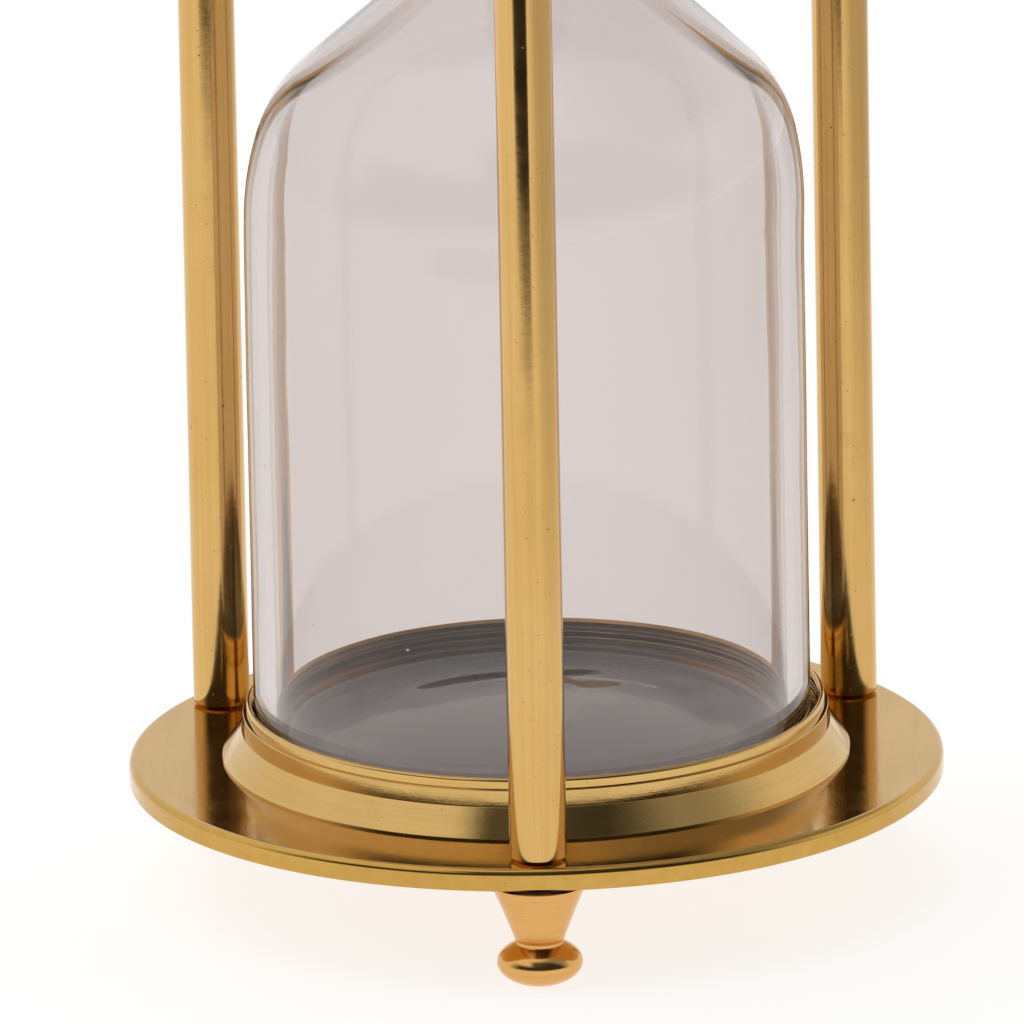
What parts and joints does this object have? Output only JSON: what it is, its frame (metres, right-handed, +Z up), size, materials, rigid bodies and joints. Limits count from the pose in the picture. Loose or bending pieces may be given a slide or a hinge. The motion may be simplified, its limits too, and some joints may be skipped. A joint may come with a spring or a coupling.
{
  "type": "hourglass",
  "caption": "Tall hourglass: one-piece glass seated in flared collars between two round brass plates, tied by three plain round pillars with turned screw-on feet and matching finials.",
  "frame": {"origin": "on the central axis, at the plane the three feet stand on", "axes": "+Z up along the hourglass, -Y towards the front pillar, +X to the right seen from the front"},
  "size_m": [0.114, 0.1148, 0.3048],
  "materials": {
    "plate_brass": "polished",
    "pillar_brass": "polished, with wear pits",
    "collar_brass": "polished",
    "finial_brass": "turned, warmer lacquer",
    "stud_brass": "threaded, dull",
    "washer_fibre": "matte",
    "seat_felt": "matte",
    "clear_glass": "clear, blown",
    "stopper_rubber": "matte",
    "sand": "fine grains"
  },
  "bodies": {
    "frame": {"bottom_plate": "plate_brass", "top_plate": "plate_brass", "lower_collar": "collar_brass", "upper_collar": "collar_brass", "lower_pad": "seat_felt", "upper_pad": "seat_felt", "pillar_front": "pillar_brass", "pillar_left": "pillar_brass", "pillar_right": "pillar_brass", "stud_bottom_front": "stud_brass", "stud_bottom_left": "stud_brass", "stud_bottom_right": "stud_brass", "stud_top_front": "stud_brass", "stud_top_left": "stud_brass", "stud_top_right": "stud_brass"},
    "glass": {"glass_vessel": "clear_glass", "fill_plug": "stopper_rubber", "sand": "sand"},
    "washer_under_front": {"washer_bottom_front": "washer_fibre"},
    "foot_front": {"foot_front": "finial_brass"},
    "washer_under_left": {"washer_bottom_left": "washer_fibre"},
    "foot_left": {"foot_left": "finial_brass"},
    "washer_under_right": {"washer_bottom_right": "washer_fibre"},
    "foot_right": {"foot_right": "finial_brass"},
    "washer_over_front": {"washer_top_front": "washer_fibre"},
    "finial_front": {"finial_front": "finial_brass"},
    "washer_over_left": {"washer_top_left": "washer_fibre"},
    "finial_left": {"finial_left": "finial_brass"},
    "washer_over_right": {"washer_top_right": "washer_fibre"},
    "finial_right": {"finial_right": "finial_brass"}
  },
  "joints": [
    {"name": "glass_turn", "type": "hinge", "parent": "frame", "child": "glass", "pos_m": [0, 0, 0.1524], "axis": [0, 0, 1], "continuous": true},
    {"name": "foot_front_travel", "type": "slide", "parent": "frame", "child": "washer_under_front", "axis": [0, 0, -1], "range_m": [0, 0.0042]},
    {"name": "foot_front_unscrew", "type": "hinge", "parent": "washer_under_front", "child": "foot_front", "pos_m": [0, -0.0511, 0.0072], "axis": [0, 0, -1], "range_deg": [0, 2160]},
    {"name": "foot_left_travel", "type": "slide", "parent": "frame", "child": "washer_under_left", "axis": [0, 0, -1], "range_m": [0, 0.0042]},
    {"name": "foot_left_unscrew", "type": "hinge", "parent": "washer_under_left", "child": "foot_left", "pos_m": [-0.04425, 0.02555, 0.0072], "axis": [0, 0, -1], "range_deg": [0, 2160]},
    {"name": "foot_right_travel", "type": "slide", "parent": "frame", "child": "washer_under_right", "axis": [0, 0, -1], "range_m": [0, 0.0042]},
    {"name": "foot_right_unscrew", "type": "hinge", "parent": "washer_under_right", "child": "foot_right", "pos_m": [0.04425, 0.02555, 0.0072], "axis": [0, 0, -1], "range_deg": [0, 2160]},
    {"name": "finial_front_travel", "type": "slide", "parent": "frame", "child": "washer_over_front", "axis": [0, 0, 1], "range_m": [0, 0.0042]},
    {"name": "finial_front_unscrew", "type": "hinge", "parent": "washer_over_front", "child": "finial_front", "pos_m": [0, -0.0511, 0.2976], "axis": [0, 0, 1], "range_deg": [0, 2160]},
    {"name": "finial_left_travel", "type": "slide", "parent": "frame", "child": "washer_over_left", "axis": [0, 0, 1], "range_m": [0, 0.0042]},
    {"name": "finial_left_unscrew", "type": "hinge", "parent": "washer_over_left", "child": "finial_left", "pos_m": [-0.04425, 0.02555, 0.2976], "axis": [0, 0, 1], "range_deg": [0, 2160]},
    {"name": "finial_right_travel", "type": "slide", "parent": "frame", "child": "washer_over_right", "axis": [0, 0, 1], "range_m": [0, 0.0042]},
    {"name": "finial_right_unscrew", "type": "hinge", "parent": "washer_over_right", "child": "finial_right", "pos_m": [0.04425, 0.02555, 0.2976], "axis": [0, 0, 1], "range_deg": [0, 2160]}
  ],
  "couplings": [
    {"joint": "foot_front_travel", "follows": "foot_front_unscrew", "m_per_rad": 0.0001114},
    {"joint": "foot_left_travel", "follows": "foot_left_unscrew", "m_per_rad": 0.0001114},
    {"joint": "foot_right_travel", "follows": "foot_right_unscrew", "m_per_rad": 0.0001114},
    {"joint": "finial_front_travel", "follows": "finial_front_unscrew", "m_per_rad": 0.0001114},
    {"joint": "finial_left_travel", "follows": "finial_left_unscrew", "m_per_rad": 0.0001114},
    {"joint": "finial_right_travel", "follows": "finial_right_unscrew", "m_per_rad": 0.0001114}
  ]
}
